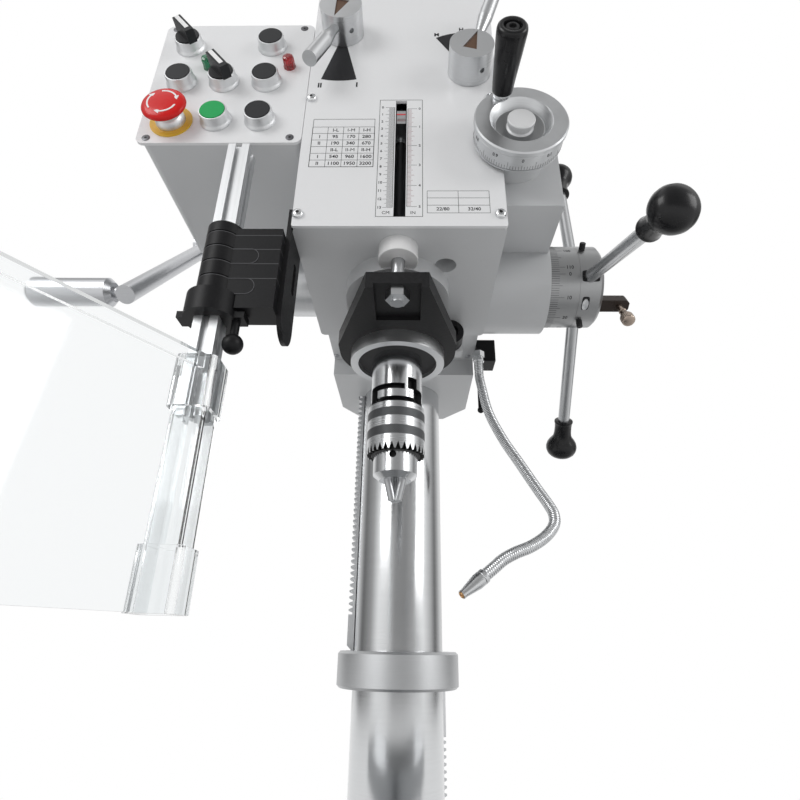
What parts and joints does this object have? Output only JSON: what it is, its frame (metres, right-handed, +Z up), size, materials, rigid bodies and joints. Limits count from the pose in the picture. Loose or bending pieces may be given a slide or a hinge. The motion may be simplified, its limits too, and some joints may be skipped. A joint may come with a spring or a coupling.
{
  "type": "mill drill",
  "caption": "Floor-standing mill drill with a geared head on a round column, quill feed, drill chuck, slotted work table, control box, chuck guard and coolant hose.",
  "frame": {"origin": "on the floor, under the column's axis, in the base's flat underside", "axes": "+Z up along the column, +X to the right as seen from the front, -Y to the front, where the operator stands"},
  "size_m": [0.8233, 0.82, 1.905],
  "materials": {
    "casting_paint": "satin light grey paint",
    "plate_paint": "smooth near-white paint",
    "motor_paint": "satin light grey paint",
    "ground_steel": "ground and polished",
    "tool_steel": "hardened, ground",
    "screw_steel": "bright plated",
    "satin_aluminium": "satin",
    "black_iron": "satin black paint",
    "black_plastic": "glossy black",
    "black_grip": "glossy black",
    "clutch_steel": "oiled dark steel",
    "table_iron": "planed",
    "clear_sheet": "clear plastic sheet",
    "bezel_silver": "satin silver",
    "button_black": "smooth",
    "button_green": "smooth",
    "button_red": "glossy",
    "valve_black": "matt",
    "hose_steel": "bright ribbed metal",
    "nozzle_brass": "satin"
  },
  "bodies": {
    "stand": {"base": "casting_paint", "column": "ground_steel", "stop_collar": "satin_aluminium"},
    "head_rack": {"rack_upper": "tool_steel"},
    "head": {"head_casting": "casting_paint", "front_plate": "plate_paint", "head_screws": "screw_steel", "motor": "motor_paint", "guard_bracket": "black_iron", "guard_clamp": "black_iron", "control_box": "casting_paint", "control_panel": "plate_paint", "panel_fittings": "bezel_silver", "coolant_valve": "valve_black", "coolant_hose": "hose_steel", "coolant_nozzle": "nozzle_brass"},
    "head_pinion": {"head_pinion": "tool_steel"},
    "head_crank": {"head_crank": "screw_steel"},
    "gear_lever_left": {"gear_lever_left": "satin_aluminium"},
    "gear_lever_right": {"gear_lever_right": "satin_aluminium"},
    "feed_wheel": {"feed_wheel": "satin_aluminium"},
    "feed_wheel_grip": {"feed_wheel_grip": "black_grip"},
    "feed_hub": {"feed_hub": "ground_steel", "feed_dial": "ground_steel", "feed_spokes": "ground_steel", "spoke_knobs": "black_plastic", "feed_clutch": "clutch_steel"},
    "quill": {"quill": "ground_steel", "quill_ring": "ground_steel", "spindle_bearings": "tool_steel", "stop_yoke": "black_iron", "depth_rod": "screw_steel"},
    "spindle": {"spindle": "ground_steel", "chuck_body": "tool_steel"},
    "chuck_sleeve": {"chuck_sleeve": "tool_steel"},
    "chuck_jaw_1": {"chuck_jaw_1": "tool_steel"},
    "chuck_jaw_2": {"chuck_jaw_2": "tool_steel"},
    "chuck_jaw_3": {"chuck_jaw_3": "tool_steel"},
    "spindle_gear": {"spindle_gear": "tool_steel"},
    "motor_pinion": {"motor_pinion": "tool_steel"},
    "quill_lock": {"quill_lock": "black_plastic"},
    "guard_collar": {"guard_collar": "black_iron"},
    "guard_pole": {"guard_pole": "satin_aluminium", "guard_shield": "clear_sheet"},
    "push_button_1": {"push_button_1": "button_black"},
    "push_button_2": {"push_button_2": "button_black"},
    "push_button_3": {"push_button_3": "button_black"},
    "push_button_4": {"push_button_4": "button_black"},
    "start_button": {"start_button": "button_green"},
    "selector_1": {"selector_1": "button_black"},
    "selector_2": {"selector_2": "button_black"},
    "stop_button": {"stop_button": "button_red"},
    "coolant_tap": {"coolant_tap": "valve_black"},
    "table_rack": {"rack_lower": "tool_steel"},
    "table_bracket": {"table_bracket": "casting_paint"},
    "table_crank": {"table_crank": "screw_steel"},
    "saddle": {"saddle": "casting_paint"},
    "saddle_screw": {"saddle_screw": "screw_steel"},
    "work_table": {"work_table": "table_iron"},
    "table_screw": {"table_screw": "screw_steel"}
  },
  "joints": [
    {"name": "head_swivel", "type": "hinge", "parent": "stand", "child": "head_rack", "pos_m": [0, 0, 0.9915], "axis": [0, 0, 1], "range_deg": [-90, 90]},
    {"name": "head_lift", "type": "slide", "parent": "head_rack", "child": "head", "axis": [0, 0, 1], "range_m": [-0.175, 0.12]},
    {"name": "head_pinion_turn", "type": "hinge", "parent": "head", "child": "head_pinion", "pos_m": [-0.08417, 0, 1.4762], "axis": [0, 1, 0], "range_deg": [-503, 345]},
    {"name": "head_crank_turn", "type": "hinge", "parent": "head", "child": "head_crank", "pos_m": [-0.17, -0.16, 1.517], "axis": [1, 0, 0], "range_deg": [-5030, 3440]},
    {"name": "gear_lever_left_turn", "type": "hinge", "parent": "head", "child": "gear_lever_left", "pos_m": [-0.061, -0.405, 1.602], "axis": [0, -1, 0], "range_deg": [0, 26]},
    {"name": "gear_lever_right_turn", "type": "hinge", "parent": "head", "child": "gear_lever_right", "pos_m": [0.072, -0.405, 1.538], "axis": [0, -1, 0], "range_deg": [0, 46]},
    {"name": "feed_wheel_turn", "type": "hinge", "parent": "head", "child": "feed_wheel", "pos_m": [0.113, -0.407, 1.435], "axis": [0, -1, 0], "continuous": true},
    {"name": "feed_wheel_grip_turn", "type": "hinge", "parent": "feed_wheel", "child": "feed_wheel_grip", "pos_m": [0.09642, -0.433, 1.46491], "axis": [0, -1, 0], "continuous": true},
    {"name": "quill_feed", "type": "slide", "parent": "head", "child": "quill", "axis": [0, 0, -1], "range_m": [0, 0.12], "stiffness_N_per_m": 450, "springref_m": -0.45},
    {"name": "feed_hub_turn", "type": "hinge", "parent": "head", "child": "feed_hub", "pos_m": [0.186, -0.218, 1.406], "axis": [1, 0, 0], "range_deg": [-1, 383]},
    {"name": "spindle_turn", "type": "hinge", "parent": "quill", "child": "spindle", "pos_m": [0, -0.272, 1.215], "axis": [0, 0, 1], "continuous": true},
    {"name": "spindle_gear_turn", "type": "hinge", "parent": "head", "child": "spindle_gear", "pos_m": [0, -0.272, 1.56], "axis": [0, 0, 1], "continuous": true},
    {"name": "motor_pinion_turn", "type": "hinge", "parent": "head", "child": "motor_pinion", "pos_m": [0, -0.16, 1.56], "axis": [0, 0, 1], "continuous": true},
    {"name": "chuck_sleeve_turn", "type": "hinge", "parent": "spindle", "child": "chuck_sleeve", "pos_m": [0, -0.272, 1.19], "axis": [0, 0, 1], "range_deg": [0, 1800]},
    {"name": "chuck_jaw_1_slide", "type": "slide", "parent": "spindle", "child": "chuck_jaw_1", "axis": [0, 0.2588, 0.9659], "range_m": [0, 0.031]},
    {"name": "chuck_jaw_2_slide", "type": "slide", "parent": "spindle", "child": "chuck_jaw_2", "axis": [-0.2241, -0.1294, 0.9659], "range_m": [0, 0.031]},
    {"name": "chuck_jaw_3_slide", "type": "slide", "parent": "spindle", "child": "chuck_jaw_3", "axis": [0.2241, -0.1294, 0.9659], "range_m": [0, 0.031]},
    {"name": "quill_lock_turn", "type": "hinge", "parent": "head", "child": "quill_lock", "pos_m": [0.058, -0.246, 1.319], "axis": [0, -1, 0], "range_deg": [0, 120]},
    {"name": "guard_swing", "type": "hinge", "parent": "head", "child": "guard_collar", "pos_m": [-0.149, -0.403, 1.258], "axis": [0, 0, 1], "range_deg": [0, 110]},
    {"name": "guard_height", "type": "slide", "parent": "guard_collar", "child": "guard_pole", "axis": [0, 0, 1], "range_m": [-0.15, 0]},
    {"name": "push_button_1_press", "type": "slide", "parent": "head", "child": "push_button_1", "axis": [0, 1, 0], "range_m": [0, 0.004], "stiffness_N_per_m": 800, "springref_m": -0.001},
    {"name": "push_button_2_press", "type": "slide", "parent": "head", "child": "push_button_2", "axis": [0, 1, 0], "range_m": [0, 0.004], "stiffness_N_per_m": 800, "springref_m": -0.001},
    {"name": "push_button_3_press", "type": "slide", "parent": "head", "child": "push_button_3", "axis": [0, 1, 0], "range_m": [0, 0.004], "stiffness_N_per_m": 800, "springref_m": -0.001},
    {"name": "push_button_4_press", "type": "slide", "parent": "head", "child": "push_button_4", "axis": [0, 1, 0], "range_m": [0, 0.004], "stiffness_N_per_m": 800, "springref_m": -0.001},
    {"name": "start_button_press", "type": "slide", "parent": "head", "child": "start_button", "axis": [0, 1, 0], "range_m": [0, 0.004], "stiffness_N_per_m": 800, "springref_m": -0.001},
    {"name": "stop_button_press", "type": "slide", "parent": "head", "child": "stop_button", "axis": [0, 1, 0], "range_m": [0, 0.0037]},
    {"name": "selector_1_turn", "type": "hinge", "parent": "head", "child": "selector_1", "pos_m": [-0.224, -0.417, 1.581], "axis": [0, 1, 0], "range_deg": [0, 76]},
    {"name": "selector_2_turn", "type": "hinge", "parent": "head", "child": "selector_2", "pos_m": [-0.18, -0.417, 1.525], "axis": [0, 1, 0], "range_deg": [0, 76]},
    {"name": "coolant_tap_turn", "type": "hinge", "parent": "head", "child": "coolant_tap", "pos_m": [0.1102, -0.097, 1.368], "axis": [0, -1, 0], "range_deg": [0, 90]},
    {"name": "table_swivel", "type": "hinge", "parent": "stand", "child": "table_rack", "pos_m": [0, 0, 0.9], "axis": [0, 0, 1], "range_deg": [-90, 90]},
    {"name": "table_lift", "type": "slide", "parent": "table_rack", "child": "table_bracket", "axis": [0, 0, 1], "range_m": [-0.3, 0.08]},
    {"name": "table_crank_turn", "type": "hinge", "parent": "table_bracket", "child": "table_crank", "pos_m": [0.0729, 0.04209, 0.672], "axis": [0.5, -0.866, 0], "range_deg": [-861, 231]},
    {"name": "saddle_slide", "type": "slide", "parent": "table_bracket", "child": "saddle", "axis": [0, 1, 0], "range_m": [-0.06, 0.06]},
    {"name": "saddle_screw_turn", "type": "hinge", "parent": "table_bracket", "child": "saddle_screw", "pos_m": [0, -0.486, 0.76], "axis": [0, 1, 0], "range_deg": [-4325, 4325]},
    {"name": "table_slide", "type": "slide", "parent": "saddle", "child": "work_table", "axis": [1, 0, 0], "range_m": [-0.2, 0.2]},
    {"name": "table_screw_turn", "type": "hinge", "parent": "work_table", "child": "table_screw", "pos_m": [0.365, -0.272, 0.8], "axis": [1, 0, 0], "range_deg": [-14405, 14405]}
  ],
  "couplings": [
    {"joint": "head_pinion_turn", "follows": "head_lift", "rad_per_m": 50},
    {"joint": "head_crank_turn", "follows": "head_lift", "rad_per_m": 500},
    {"joint": "feed_hub_turn", "follows": "quill_feed", "rad_per_m": 55.556},
    {"joint": "spindle_gear_turn", "follows": "spindle_turn", "ratio": 1},
    {"joint": "motor_pinion_turn", "follows": "spindle_turn", "ratio": -2.1111},
    {"joint": "chuck_jaw_1_slide", "follows": "chuck_sleeve_turn", "m_per_rad": 0.000955},
    {"joint": "chuck_jaw_2_slide", "follows": "chuck_sleeve_turn", "m_per_rad": 0.000955},
    {"joint": "chuck_jaw_3_slide", "follows": "chuck_sleeve_turn", "m_per_rad": 0.000955},
    {"joint": "table_crank_turn", "follows": "table_lift", "rad_per_m": 50},
    {"joint": "saddle_screw_turn", "follows": "saddle_slide", "rad_per_m": 1256.6},
    {"joint": "table_screw_turn", "follows": "table_slide", "rad_per_m": 1256.6}
  ]
}
